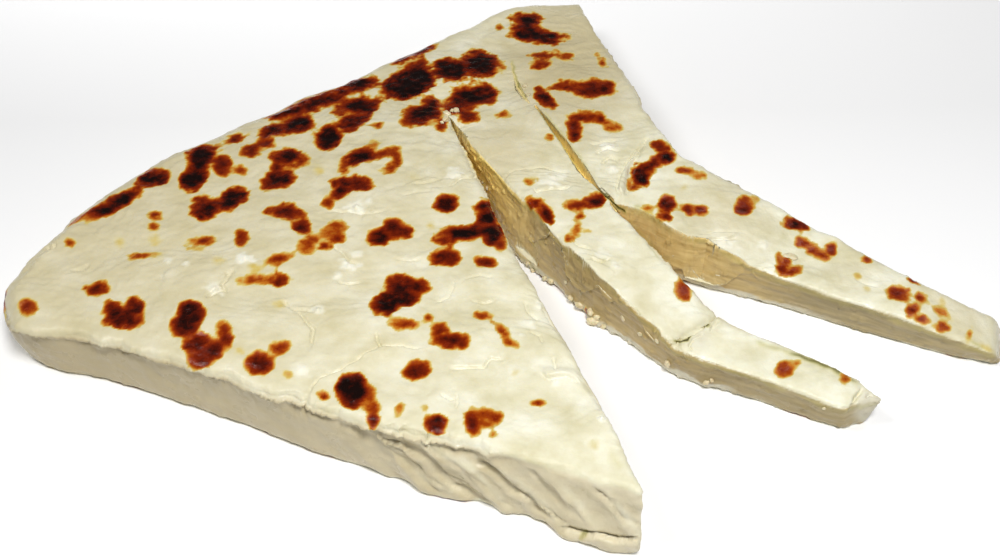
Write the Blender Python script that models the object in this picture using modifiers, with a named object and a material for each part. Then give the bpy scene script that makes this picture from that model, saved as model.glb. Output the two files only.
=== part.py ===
"""A slice of bread cheese: a flat round cheese cut to a wedge, with two strips cut from its right side
that still hang on at the rim and are splayed outwards.

Run with blender --background --python part.py, or from Blender's text editor.
Everything is in metres, with +Z up. Plan points are written in millimetres and scaled by MM.
The tip of the wedge points to -Y, the rim of the round cheese is on the +Y side, and the strips
splay towards +X. The underside lies on z = 0.
"""
import math

import bmesh
import bpy
import numpy as np
from mathutils import Vector, noise

MM = 0.001
NAME = "bread_cheese"

# The wedge
THICKNESS = 14 * MM
RIM_THICKNESS = 12 * MM
RIM_FALL = 45 * MM          # the top starts to fall this far in from the rim
RIM_TOP_ROUND = 5 * MM
RIM_FOOT_ROUND = 6 * MM

# Plan points in millimetres, one run for each side, going round from the tip. They count from a
# point of their own, and the finished cheese is moved so that its box's middle is at the origin.
BOX_MIDDLE = (-1.2, 3.7)
TIP = (20.9, -72.7)
FRONT_CUT = [(4.4, -66.4), (-8.3, -61.9), (-18.1, -59.3), (-33.4, -53.4), (-51.6, -44.6),
             (-63.1, -39.7), (-75.1, -34.8), (-87.0, -32.0)]
FRONT_CORNER = (-93.2, -28.0)
RIM = [(-95.6, -20.5), (-94.2, -13.2), (-91.6, -6.8), (-88.9, 0.0), (-85.2, 6.2), (-71.2, 22.6),
       (-47.2, 40.8), (-20.9, 61.4), (-9.0, 71.0), (-1.5, 77.5), (6.0, 80.9)]
RIM_CORNER = (19.5, 82.5)
OUTER_SIDE = [(21.6, 68.0), (25.0, 55.0), (27.8, 44.5), (30.4, 33.1)]
STRIP_ROOTS = [(28.0, 22.0), (6.0, 22.0)]
FIRST_CUT_START = (-12.0, 27.8)
FIRST_CUT = [(-8.0, 15.4), (-3.5, 0.5), (0.7, -13.0), (5.4, -26.5), (11.4, -43.5), (16.3, -58.5)]

# The front cut isn't upright: each entry gives a place along it, the length over which the slant
# changes there and how far the foot then moves back (or out, below 0), all in millimetres
FRONT_FOOT = [(-84.0, 12.0, -1.0), (-18.0, 12.0, -2.2), (6.8, 2.5, -1.5)]
FRONT_FOOT_AT_RIM = 1.4
FRONT_FOOT_REACH = 20 * MM

# The strips: middle of the section in plan, its width and its height, all in millimetres,
# from inside the wedge out to the free end
FIRST_STRIP = [(-6.0, 40.0, 12.0, 9.0), (-0.7, 27.8, 19.4, 13.4), (3.0, 17.9, 17.6, 14.0),
               (9.7, 3.2, 15.1, 14.0), (18.2, -12.4, 14.9, 14.0), (25.4, -22.0, 13.3, 12.1),
               (33.5, -31.8, 12.2, 9.0), (39.6, -35.8, 10.4, 8.0), (49.6, -41.0, 9.7, 7.6),
               (58.1, -46.2, 8.4, 6.8), (61.0, -48.4, 6.4, 6.4)]
SECOND_STRIP = [(17.0, 44.0, 16.0, 9.0), (18.9, 33.3, 20.5, 13.4), (21.8, 23.2, 21.5, 14.0),
                (27.2, 9.0, 20.6, 14.0), (34.3, 1.6, 22.0, 13.4), (44.7, -4.8, 20.7, 11.5),
                (54.5, -10.4, 18.0, 9.3), (64.6, -17.2, 15.0, 8.2), (73.6, -23.1, 12.2, 7.8),
                (82.9, -28.4, 10.4, 6.2), (89.8, -30.9, 9.8, 4.2)]
SECTIONS_BETWEEN = 6        # sections lofted from one entry to the next
STRIP_LEAN = 1.6            # millimetres by which a strip's foot lies outside its top edge
FIRST_END_SKEW = 5.7        # the first strip's end is cut at a slant
SECOND_END_SKEW = 0.0
END_SLOPE = 2.6             # the foot of an end face stands out from its top edge

# The first strip's foot stands out towards the wedge just where the two part
TOE_FOOT = [(-4.7, 13.8), (-2.4, 9.0), (0.0, 3.8), (1.3, -0.7), (2.7, -3.8), (5.0, -6.5), (8.0, -9.9),
            (9.8, -11.6), (12.0, -4.0), (4.0, 13.0)]
TOE_TOP = [(-3.8, 13.4), (1.1, 4.0), (3.4, -0.4), (5.4, -3.8), (7.0, -6.6), (8.6, -9.6),
           (12.0, -4.0), (4.0, 13.0)]
TOE_HEIGHT = 12.5

# Curds that the knife pulled out at the foot of the first strip: plan point and radius
NUBS = [(16.5, -20.5, 1.7), (20.0, -23.6, 1.3), (30.2, -33.8, 1.9), (36.0, -37.6, 2.0)]
NUB_RISE = 0.7              # height of a nub's middle above the floor, in radii

# The second cut above the place where the strips part: a slit that opens and closes again
SECOND_CUT = [(7.8, 31.0), (9.7, 24.2), (12.9, 16.2), (15.4, 9.4), (18.6, 3.0), (23.2, -5.0)]
SLIT_WIDTH = 1.4 * MM
SLIT_DEPTH = 4.5 * MM
SLIT_OPEN_PART = 0.55       # this much of its length is open, and the rest is nearly closed
SLIT_CLOSED_DEPTH = 0.35    # depth where it is closed, against the open part's

# Cracks across the tops of the strips where they bend
CRACKS = [[(28.5, -37.5), (32.5, -33.5), (36.0, -31.0), (39.5, -28.0)],
          [(30.0, 19.0), (26.0, 10.0), (24.0, 1.0)]]
CRACK_DEPTH = 0.9 * MM
CRACK_WIDTH = 1.0 * MM

# Relief
LUMP_SIZE = 13 * MM
LUMP_HEIGHT = 0.35 * MM
TOP_STARTS = 0.35           # share of the thickness above which the top's relief sets in
TOP_FULL = 0.65
FOLD_SPACING = 8.6 * MM     # the folds that the knife drew in the front face, near the tip
FOLD_DEPTH = 1.1 * MM
FOLD_SLANT = 13 * MM        # how far towards the tip a fold runs on its way down
FOLD_START = -30 * MM
FOLD_FADE = 12 * MM
FOLD_REACH = 6 * MM         # how far in from the front face the folds are felt
FOLD_TOP_FADE = 0.4         # share of the thickness, below the top edge, that the folds fade over
FOLD_WANDER = 0.9           # how much the lumps push the folds off their even spacing
FLOOR_BAND = 0.35 * MM      # what is lower than this rests on the floor

VOXEL = 0.7 * MM
SOFTENING = 3               # rounds of smoothing after each remesh
FACE_LIMIT = 11000


def clear_scene():
    for item in list(bpy.data.objects):
        bpy.data.objects.remove(item, do_unlink=True)


def smooth_step(value):
    t = np.clip(value, 0.0, 1.0)
    return t * t * (3.0 - 2.0 * t)


def add_object(name, mesh, collection):
    item = bpy.data.objects.new(name, mesh)
    collection.objects.link(item)
    return item


def evaluated_mesh(item):
    bpy.context.view_layer.update()
    return bpy.data.meshes.new_from_object(item.evaluated_get(bpy.context.evaluated_depsgraph_get()))


def read_points(mesh):
    flat = np.empty(len(mesh.vertices) * 3)
    mesh.vertices.foreach_get("co", flat)
    return flat.reshape(-1, 3)


def write_points(mesh, points):
    mesh.vertices.foreach_set("co", points.ravel())
    mesh.update()


def curve_to_mesh(item, collection):
    """Replace a curve object by a mesh object with its caps welded on."""
    mesh = evaluated_mesh(item)
    work = bmesh.new()
    work.from_mesh(mesh)
    bmesh.ops.remove_doubles(work, verts=work.verts, dist=0.01 * MM)
    bmesh.ops.recalc_face_normals(work, faces=work.faces)
    work.to_mesh(mesh)
    work.free()
    solid = add_object(item.name, mesh, collection)
    solid.matrix_world = item.matrix_world.copy()
    bpy.data.objects.remove(item, do_unlink=True)
    return solid


def outline_slab(name, runs, height, collection):
    """A flat slab of the given height on z = 0, whose outline is smooth inside each run of plan
    points and has a corner at each run's first point."""
    curve = bpy.data.curves.new(name, "CURVE")
    curve.dimensions = "2D"
    curve.fill_mode = "BOTH"
    curve.extrude = height / 2
    curve.resolution_u = 8
    points = [point for run in runs for point in run]
    corners = [index == 0 for run in runs for index in range(len(run))]
    spline = curve.splines.new("BEZIER")
    spline.bezier_points.add(len(points) - 1)
    spline.use_cyclic_u = True
    for knot, point, corner in zip(spline.bezier_points, points, corners):
        knot.co = (point[0] * MM, point[1] * MM, 0)
        knot.handle_left_type = knot.handle_right_type = "VECTOR" if corner else "AUTO"
    slab = add_object(name, curve, collection)
    slab.location.z = height / 2
    return curve_to_mesh(slab, collection)


def smooth_stations(stations):
    """The stations of a Catmull-Rom curve through the given ones."""
    known = np.array(stations, dtype=float)
    padded = np.vstack([2 * known[0] - known[1], known, 2 * known[-1] - known[-2]])
    result = []
    for index in range(len(known) - 1):
        before, start, end, after = padded[index:index + 4]
        for step in range(SECTIONS_BETWEEN):
            t = step / SECTIONS_BETWEEN
            result.append(0.5 * (2 * start + (end - before) * t
                                 + (2 * before - 5 * start + 4 * end - after) * t ** 2
                                 + (3 * start - before - 3 * end + after) * t ** 3))
    result.append(known[-1])
    return np.array(result)


def lofted_strip(name, stations, end_skew, collection):
    """A strip of cheese: four-cornered sections along the stations, leaning inwards, joined side
    by side and closed at both ends."""
    path = smooth_stations(stations)
    along = np.gradient(path[:, :2], axis=0)
    along /= np.linalg.norm(along, axis=1)[:, None]
    outward = np.stack([-along[:, 1], along[:, 0]], axis=1)
    work = bmesh.new()
    sections = []
    for index, (x, y, width, height) in enumerate(path):
        lean = STRIP_LEAN * math.sqrt(index / (len(path) - 1))
        corners = []
        for side, z in ((-1, 0), (1, 0), (1, height), (-1, height)):
            at_foot = z == 0
            place = np.array([x, y]) + outward[index] * (side * width / 2 + lean * at_foot)
            if index == len(path) - 1:
                place += along[index] * (side * end_skew / 2 + END_SLOPE * at_foot)
            corners.append(work.verts.new((place[0] * MM, place[1] * MM, z * MM)))
        sections.append(corners)
    for near, far in zip(sections, sections[1:]):
        for side in range(4):
            work.faces.new((near[side], near[side - 1], far[side - 1], far[side]))
    work.faces.new(sections[0])
    work.faces.new(sections[-1])
    bmesh.ops.recalc_face_normals(work, faces=work.faces)
    mesh = bpy.data.meshes.new(name)
    work.to_mesh(mesh)
    work.free()
    return add_object(name, mesh, collection)


def hull_block(name, foot, top, height, collection):
    """The convex block between an outline on the floor and one at the given height."""
    work = bmesh.new()
    for outline, z in ((foot, 0), (top, height)):
        for x, y in outline:
            work.verts.new((x * MM, y * MM, z * MM))
    bmesh.ops.convex_hull(work, input=work.verts)
    mesh = bpy.data.meshes.new(name)
    work.to_mesh(mesh)
    work.free()
    return add_object(name, mesh, collection)


def add_nub(x, y, radius, collection):
    """A small lump on the floor, half sunk in the foot of a strip."""
    bpy.ops.mesh.primitive_ico_sphere_add(subdivisions=2, radius=radius * MM,
                                          location=(x * MM, y * MM, NUB_RISE * radius * MM))
    nub = bpy.context.object
    for other in nub.users_collection:
        other.objects.unlink(nub)
    collection.objects.link(nub)
    nub.data.transform(nub.matrix_world)
    nub.matrix_world.identity()
    return nub


def remeshed(item):
    """Turn an object into one closed skin of even small faces, and take the saw teeth that this
    leaves off its edges."""
    remesh = item.modifiers.new("remesh", "REMESH")
    remesh.mode = "VOXEL"
    remesh.voxel_size = VOXEL
    remesh.adaptivity = 0
    mesh = evaluated_mesh(item)
    item.modifiers.clear()
    item.data = mesh
    mesh.transform(item.matrix_world)
    item.matrix_world.identity()
    work = bmesh.new()
    work.from_mesh(mesh)
    for _ in range(SOFTENING):
        bmesh.ops.smooth_vert(work, verts=work.verts, factor=0.5, use_axis_x=True, use_axis_y=True,
                              use_axis_z=True)
    work.to_mesh(mesh)
    work.free()
    return item


def joined(items):
    """Put the meshes of several objects into the first one and remove the others."""
    work = bmesh.new()
    for item in items:
        work.from_mesh(item.data)
    work.to_mesh(items[0].data)
    work.free()
    for item in items[1:]:
        bpy.data.objects.remove(item, do_unlink=True)
    return items[0]


def distance_to_line(points, line):
    """How far each plan point is from a line of straight stretches, and how far along it the
    nearest place is, from 0 to 1."""
    line = np.array(line) * MM
    lengths = np.linalg.norm(np.diff(line, axis=0), axis=1)
    passed = np.concatenate([[0.0], np.cumsum(lengths)])
    best = np.full(len(points), np.inf)
    place = np.zeros(len(points))
    for start, end, length, done in zip(line, line[1:], lengths, passed):
        step = (end - start) / length
        t = np.clip((points[:, :2] - start) @ step, 0.0, length)
        away = np.linalg.norm(points[:, :2] - start - t[:, None] * step, axis=1)
        closer = away < best
        best[closer] = away[closer]
        place[closer] = (done + t[closer]) / passed[-1]
    return best, place


def rounding(inward, radius):
    """Drop of a rounded edge of the given radius, this far in from its side."""
    gap = np.clip(radius - inward, 0.0, radius)
    return radius - np.sqrt(radius ** 2 - gap ** 2)


def shape_wedge(mesh):
    """Give the flat slab its rounded rim, a top that falls towards the rim and the slant of the
    front cut."""
    points = read_points(mesh)
    inward, _ = distance_to_line(points, smooth_stations([FRONT_CORNER] + RIM + [RIM_CORNER]))
    height = np.clip(points[:, 2] / THICKNESS, 0.0, 1.0)
    top = RIM_THICKNESS + (THICKNESS - RIM_THICKNESS) * smooth_step(inward / RIM_FALL)
    top -= rounding(inward, RIM_TOP_ROUND)
    foot = rounding(inward, RIM_FOOT_ROUND)
    points[:, 2] = foot + (top - foot) * height
    front, _ = distance_to_line(points, [TIP] + FRONT_CUT + [FRONT_CORNER])
    near_front = smooth_step(1.0 - front / FRONT_FOOT_REACH)
    back = np.full(len(points), FRONT_FOOT_AT_RIM)
    for place, length, change in FRONT_FOOT:
        back += change * smooth_step((points[:, 0] / MM - place) / length + 0.5)
    points[:, 1] += back * MM * (1.0 - height) * near_front
    write_points(mesh, points)


def valley(points, line, width):
    """1 on a line in plan, falling to 0 at the given distance from it, and the place along it."""
    away, along = distance_to_line(points, line)
    return smooth_step(1.0 - away / width), along


def carve_relief(mesh):
    """Lumps and cuts of the top, folds of the front face and a flat underside."""
    points = read_points(mesh)
    level = smooth_step((points[:, 2] / THICKNESS - TOP_STARTS) / (TOP_FULL - TOP_STARTS))
    lumps = np.array([noise.noise(Vector((x, y, 0)) / LUMP_SIZE) for x, y, _ in points])
    points[:, 2] += LUMP_HEIGHT * lumps * level
    slit, along = valley(points, SECOND_CUT, SLIT_WIDTH)
    spindle = np.sin(math.pi * np.clip(along / SLIT_OPEN_PART, 0.0, 1.0))
    depth = SLIT_DEPTH * (SLIT_CLOSED_DEPTH + (1 - SLIT_CLOSED_DEPTH) * spindle)
    points[:, 2] -= depth * slit * level
    for crack in CRACKS:
        notch, _ = valley(points, crack, CRACK_WIDTH)
        points[:, 2] -= CRACK_DEPTH * notch * level
    front, _ = distance_to_line(points, [TIP] + FRONT_CUT)
    drop = 1.0 - points[:, 2] / THICKNESS
    phase = (points[:, 0] - FOLD_SLANT * drop) / FOLD_SPACING + FOLD_WANDER * lumps
    fold = (0.5 + 0.5 * np.sin(2 * math.pi * phase)) ** 1.5
    strength = smooth_step((points[:, 0] - FOLD_START) / FOLD_FADE)
    strength *= smooth_step(drop / FOLD_TOP_FADE) * smooth_step(1.0 - front / FOLD_REACH)
    points[:, 1] -= FOLD_DEPTH * (fold - fold.mean()) * strength
    points[points[:, 2] < FLOOR_BAND, 2] = 0.0
    points[:, :2] -= np.array(BOX_MIDDLE) * MM
    write_points(mesh, points)


def cheese_material():
    """Pale, slightly wet cheese."""
    material = bpy.data.materials.new("cheese")
    material.use_nodes = True
    shader = material.node_tree.nodes["Principled BSDF"]
    shader.inputs["Base Color"].default_value = (0.76, 0.70, 0.50, 1)
    shader.inputs["Roughness"].default_value = 0.45
    shader.inputs["Metallic"].default_value = 0.0
    return material


def build():
    clear_scene()
    collection = bpy.data.collections.new(NAME)
    bpy.context.scene.collection.children.link(collection)
    runs = [[TIP] + FRONT_CUT, [FRONT_CORNER] + RIM, [RIM_CORNER] + OUTER_SIDE, STRIP_ROOTS,
            [FIRST_CUT_START] + FIRST_CUT]
    wedge = remeshed(outline_slab(NAME, runs, THICKNESS, collection))
    shape_wedge(wedge.data)
    first = lofted_strip("first_strip", FIRST_STRIP, FIRST_END_SKEW, collection)
    second = lofted_strip("second_strip", SECOND_STRIP, SECOND_END_SKEW, collection)
    toe = hull_block("toe", TOE_FOOT, TOE_TOP, TOE_HEIGHT, collection)
    nubs = [add_nub(x, y, radius, collection) for x, y, radius in NUBS]
    cheese = remeshed(joined([wedge, first, second, toe] + nubs))
    cheese.name = NAME
    carve_relief(cheese.data)
    fewer_faces = cheese.modifiers.new("fewer_faces", "DECIMATE")
    fewer_faces.ratio = FACE_LIMIT / (2 * len(cheese.data.polygons))
    cheese.data.materials.append(cheese_material())
    cheese.data.shade_smooth()
    return cheese


cheese = build()
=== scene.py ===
"""Looks of the bread cheese: the CAD solid gets a fine skin with wrinkles, curds, creases and
browned spots, and stands on a pale floor under soft light.

Lengths are in metres unless a name ends in PX. Those are pixels of the photograph, whose size is
PHOTO_SIZE, and they are laid on the cheese along the camera's rays. A line of such pixels is a row
of numbers, across and down by turns.
"""
import math

import bmesh
import bpy
import numpy as np
from mathutils import Matrix, Vector, kdtree, noise


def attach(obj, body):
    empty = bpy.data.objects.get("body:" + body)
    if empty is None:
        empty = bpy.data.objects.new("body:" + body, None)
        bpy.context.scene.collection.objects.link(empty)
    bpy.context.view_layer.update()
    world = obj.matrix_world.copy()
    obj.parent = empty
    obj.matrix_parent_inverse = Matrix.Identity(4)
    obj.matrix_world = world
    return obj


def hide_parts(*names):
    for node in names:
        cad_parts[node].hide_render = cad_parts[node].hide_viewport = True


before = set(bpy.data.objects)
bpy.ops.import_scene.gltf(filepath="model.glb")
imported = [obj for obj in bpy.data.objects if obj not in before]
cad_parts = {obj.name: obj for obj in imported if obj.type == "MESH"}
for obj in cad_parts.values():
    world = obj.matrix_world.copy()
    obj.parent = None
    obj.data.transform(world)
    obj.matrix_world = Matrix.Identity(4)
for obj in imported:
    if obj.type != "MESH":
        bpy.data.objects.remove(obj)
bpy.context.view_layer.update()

MM = 0.001

# ---- camera and photograph ----
PHOTO_SIZE = (1000, 559)
CAMERA_PLACE = (-0.0002, -0.1892, 0.1649)
CAMERA_PITCH = 43.0  # degrees below the horizontal
CAMERA_ROLL = -1.1
SENSOR_WIDTH = 36.0
LENS = 43.2
PIXEL_SCALE = LENS / SENSOR_WIDTH * PHOTO_SIZE[0]


def add_object(name, data):
    item = bpy.data.objects.new(name, data)
    bpy.context.scene.collection.objects.link(item)
    return item


def make_camera():
    data = bpy.data.cameras.new("camera")
    data.sensor_fit = "HORIZONTAL"
    data.sensor_width = SENSOR_WIDTH
    data.lens = LENS
    data.clip_start = 10 * MM
    camera = add_object("camera", data)
    camera.matrix_world = (Matrix.Translation(CAMERA_PLACE)
                           @ Matrix.Rotation(math.radians(90 - CAMERA_PITCH), 4, "X")
                           @ Matrix.Rotation(math.radians(CAMERA_ROLL), 4, "Z"))
    bpy.context.scene.camera = camera
    return camera


CAMERA = make_camera()


def photo_pixels(points):
    """Where points of the model are seen in the photograph."""
    seen = (points - np.array(CAMERA_PLACE)) @ np.array(CAMERA.matrix_world.to_3x3())
    scale = PIXEL_SCALE / -seen[:, 2]
    return np.stack([PHOTO_SIZE[0] / 2 + seen[:, 0] * scale,
                     PHOTO_SIZE[1] / 2 - seen[:, 1] * scale], axis=1)


def hit_at(item, u, v):
    """What of an object is seen at a pixel: whether it is hit, the place and the normal."""
    right, up = u - PHOTO_SIZE[0] / 2, PHOTO_SIZE[1] / 2 - v
    ray = CAMERA.matrix_world.to_3x3() @ Vector((right / PIXEL_SCALE, up / PIXEL_SCALE, -1.0))
    return item.ray_cast(Vector(CAMERA_PLACE), ray.normalized())[:3]


def on_level(seen, height):
    """Where pixels of the photograph lie on a level plane, as plan points."""
    seen = pairs(seen)
    rays = np.stack([(seen[:, 0] - PHOTO_SIZE[0] / 2) / PIXEL_SCALE,
                     (PHOTO_SIZE[1] / 2 - seen[:, 1]) / PIXEL_SCALE, -np.ones(len(seen))], axis=1)
    rays = rays @ np.array(CAMERA.matrix_world.to_3x3()).T
    far = (height - CAMERA_PLACE[2]) / rays[:, 2]
    return np.array(CAMERA_PLACE)[:2] + rays[:, :2] * far[:, None]


# ---- small tools ----
def smooth_step(value):
    t = np.clip(value, 0.0, 1.0)
    return t * t * (3.0 - 2.0 * t)


def rise(value, start, over):
    """0 up to the start, and from there softly up to 1 over the given range."""
    return smooth_step((value - start) / over)


def fall(distance, reach):
    """1 at no distance, and from there softly down to 0 at the reach."""
    return smooth_step(1.0 - distance / reach)


def bumps(points, size, place=0.0):
    """Soft noise from -1 to 1 with lumps of about the given size. Another place gives another
    pattern."""
    scaled = (points / size + place).tolist()
    return np.array([noise.noise(point) for point in scaled])


def waves(points, parts):
    """Soft noise of several sizes, added up: height, size and place of each."""
    return sum(height * bumps(points, size, place) for height, size, place in parts)


def ridges(points, size, place=0.0):
    """Noise from 0 to 1 with sharp crests."""
    return 1.0 - np.abs(bumps(points, size, place)) * 2.0


def pairs(line):
    """A line's points one below the other. It may come as a flat row, across and down by turns."""
    return np.array(line, dtype=float).reshape(-1, 2)


def line_distance(points, line):
    """Distance of 2-D points from a line of straight stretches, above 0 on its right-hand side as
    seen in the picture, and the place along the line from 0 to 1."""
    line = pairs(line)
    lengths = np.linalg.norm(np.diff(line, axis=0), axis=1)
    passed = np.concatenate([[0.0], np.cumsum(lengths)])
    best = np.full(len(points), np.inf)
    side = np.ones(len(points))
    place = np.zeros(len(points))
    for start, end, length, done in zip(line, line[1:], lengths, passed):
        step = (end - start) / length
        offset = points - start
        t = np.clip(offset @ step, 0.0, length)
        away = np.linalg.norm(offset - t[:, None] * step, axis=1)
        closer = away < best
        best[closer] = away[closer]
        side[closer] = np.sign(step[0] * offset[:, 1] - step[1] * offset[:, 0])[closer]
        place[closer] = (done + t[closer]) / passed[-1]
    return best * side, place


def places_along(line):
    """The places of a line's points along it, from 0 to 1."""
    lengths = np.linalg.norm(np.diff(line, axis=0), axis=1)
    return np.concatenate([[0.0], np.cumsum(lengths)]) / lengths.sum()


def taper(place, share):
    """1 along a line, sinking to 0 over this share of it at both ends."""
    return smooth_step(np.minimum(place, 1.0 - place) / share)


def near_line(seen, line, reach):
    """Which of the seen points lie in the line's box, grown by the reach."""
    low = pairs(line).min(axis=0) - reach
    high = pairs(line).max(axis=0) + reach
    return np.flatnonzero(((seen > low) & (seen < high)).all(axis=1))


LINE_TAPER = 0.2  # creases and flaps taper over this share of their length
FLAP_EDGE_PX = 1.4


def grooves(seen, lines, wobble):
    """Depth of creases that run along lines in the picture, tapering to both ends. A line comes
    with the depth and with half its width in pixels."""
    depth = np.zeros(len(seen))
    for line, deep, width in lines:
        near = near_line(seen, line, 2 * width + 4)
        away, place = line_distance(seen[near] + wobble[near], line)
        shape = taper(place, LINE_TAPER) * fall(np.abs(away), width)
        depth[near] = np.maximum(depth[near], deep * shape)
    return depth


def flaps(seen, lines, wobble):
    """Height of skin that stands up along a line's right-hand side and sinks back over the reach,
    with a thin dip along the other side."""
    height = np.zeros(len(seen))
    for line, high, reach in lines:
        near = near_line(seen, line, reach + 4)
        away, place = line_distance(seen[near] + wobble[near], line)
        bank = smooth_step(away / FLAP_EDGE_PX + 0.5) * fall(away, reach)
        dip = fall(np.abs(away + FLAP_EDGE_PX), 1.5 * FLAP_EDGE_PX)
        height[near] += taper(place, LINE_TAPER) * high * (bank - 0.5 * dip)
    return height


def wobble_of(points, size, places, pixels):
    """Waves that bend the lines of the picture, across and down."""
    return np.stack([bumps(points, size, place) for place in places], axis=1) * pixels


def points_and_normals(mesh):
    both = []
    for items, name in ((mesh.vertices, "co"), (mesh.vertex_normals, "vector")):
        flat = np.empty(len(items) * 3)
        items.foreach_get(name, flat)
        both.append(flat.reshape(-1, 3))
    return both


def move_points(mesh, points):
    mesh.vertices.foreach_set("co", points.ravel())
    mesh.update()


def change_mesh(mesh, change):
    """Let a function change a mesh as a bmesh."""
    work = bmesh.new()
    work.from_mesh(mesh)
    change(work)
    work.to_mesh(mesh)
    work.free()


# ---- skin ----
VOXEL = 0.42 * MM
SKIN_SMOOTHING = 2

# Narrow cuts in the top, as their middle and half their width in pixels
SLIT_PX = [(535.5, 105.5, 1.0), (542.4, 115, 1.8), (552, 127.6, 2.5), (563, 140.4, 3.2),
           (572, 154, 3.2), (581.6, 166.8, 3.3), (591, 179.2, 2.3), (598.4, 189.2, 1.5),
           (606, 196.5, 1.0)]
CRACK_PX = [(598, 188.5, 0.8), (606, 196.5, 1.3), (613, 202, 1.3), (619, 207, 1.4),
            (626, 214, 1.2)]
SCRATCH_PX = [(511, 60, 0.5), (514, 72, 1.1), (517, 81, 1.6), (520, 89, 1.7), (524, 96, 1.5),
              (529, 102, 0.6)]
# Each with its full depth, the half width in pixels at which it has that, and how much its sides
# look like cut flesh
NARROW_CUTS = [(SLIT_PX, 2.4 * MM, 3.0, 1.0), (CRACK_PX, 1.6 * MM, 1.2, 1.0),
               (SCRATCH_PX, 1.0 * MM, 1.6, 0.4)]

# Edges of the two open cuts in the top, from root to end: first the side near the wedge, which
# drops steeply, and then the strip's, which leans
CUT_EDGES_PX = [
    ([448.5, 117, 451, 124, 454.4, 129, 461.6, 143, 465.6, 153, 472, 163, 476.5, 175, 483.2, 187.6,
      488, 198.8, 494.4, 208.4, 502.4, 224, 520, 262, 560, 340, 620, 450],
     [449.5, 117, 454, 122, 458, 127, 464, 134, 470.4, 143.6, 478.4, 153, 484.8, 160.4,
      492.8, 169.2, 499.2, 176.4, 512, 194, 519, 199.5, 528, 202, 537, 211, 544, 222, 549, 229,
      556, 240.5, 563, 244, 570, 247.5, 588, 264, 600, 277, 612, 287, 636, 311, 648, 320.5,
      660, 330, 669, 347, 690, 353.5, 714, 361], 4.5 * MM),
    ([601, 189, 609, 197, 616.6, 204, 620.6, 210, 625, 215, 633, 225.5, 638.7, 230.5, 650, 243.5,
      658, 254, 664.8, 265, 675, 275, 683, 283, 760, 320],
     [602, 187.5, 612.7, 197.5, 618.3, 203, 627.4, 205.9, 637.6, 208, 644.4, 210.4, 653.5, 215,
      660.3, 220.6, 669.4, 226.3, 678.4, 230.8, 687.5, 235.3, 698.8, 236.8, 708, 238, 713, 242.5,
      720, 247.5, 732, 253, 743, 259, 752, 266, 762, 272], 3 * MM),
]

# Ragged lower edge of the skin along the front, from the left end to the middle
FRONT_EDGE_PX = [
    10.2, 330, 20.5, 330.5, 27, 332, 34, 334, 45.5, 335, 59, 334.5, 72.7, 335, 82, 336, 90, 339,
    95.5, 342.4, 102, 345.8, 108, 344.4, 116, 344.7, 122.7, 344.4, 126, 348, 131, 351.2, 136, 352,
    142, 354, 149, 354.4, 153.4, 356, 161.4, 357.6, 170, 358.9, 179.3, 361.7, 187.3, 364, 193,
    368.5, 198.6, 369.7, 205.5, 371.4, 213.4, 374.8, 224.8, 374.2, 230.5, 376.5, 238.4, 381.6,
    246.4, 386, 254.3, 391.3, 262.3, 393, 269, 395.8, 278.2, 397.5, 286, 396.4, 293, 398, 301,
    403.2, 306.6, 401.5, 309, 405.5, 314.5, 408.9, 322.5, 410, 330, 413.3, 339.3, 414.8, 348.4,
    418.8, 358.6, 421.1, 364.3, 424.5, 372.3, 426.2, 380.2, 425.6, 384.8, 430.2, 392.7, 430.8,
    398.4, 433.8, 404, 431.5, 409.8, 434.7, 414.3, 437, 422.3, 436.1, 426.8, 441.5, 430.8, 437.6,
    439.3, 438.7, 448.4, 440.4, 456.4, 444.4, 463.2, 443.2, 471, 445, 481.4, 446.7, 490, 447.8]
EDGE_SHIFT = 2.2 * MM  # the solid's edge is moved by no more than this
EDGE_REACH = 3.0 * MM  # and takes along what lies this near to it
SKIN_EDGE = 0.5 * MM  # height of the skin's own edge
EDGE_FADE_OUT, EDGE_FADE_IN = 0.9 * MM, 5 * MM  # the shift fades over this height below it
EDGE_TAPER = 0.02  # and over this share of the line at both its ends
FRONT_DIRECTION = (-0.45, -0.89)
SOFT_EDGE_PX = (475, 50)  # from here on, over this far, the front's top edge turns soft

EDGE_SEARCH_PX = 14  # the solid's edge is looked for this far up and down the picture
LEVEL_NORMAL = 0.8  # Z of a normal from which a face counts as level,
TOP_NORMAL = 0.5  # as part of the top,
OVERHANG_NORMAL = -0.3  # and below which it counts as overhanging

# The first strip's end leans in towards its foot
END_CORNER = (58 * MM, -40 * MM)  # the end lies beyond this X and in front of this Y
END_LENGTH = 10 * MM
END_HEIGHT = 6 * MM
END_LEAN = 4.2 * MM

# Sides of the open cuts
NEAR_LEAN = 0.8 * MM  # how far the wedge's side of a cut leans
LEAST_LEAN = 1.0 * MM  # the strip's side leans at least this far,
LEAN_REACH = 6.0 * MM  # at most this far,
LEAN_FOOT = 2.4 * MM  # and keeps the solid's form below this height
LEAN_FADE = 0.25  # the lean fades over this share of the edge before its end
WALL_MIDDLE = 7.0 * MM  # the solid's wall is looked for round this height,
WALL_BAND = 2.0 * MM  # up to this far above and below it,
WALL_STOPS, WALL_STOP_REACH = 13, 0.06  # at this many places along the edge,
WALL_NORMAL_Z, WALL_NORMAL_Y = 0.3, -0.2  # and is steeper and more to the front than these
FEW_POINTS = 20

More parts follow.
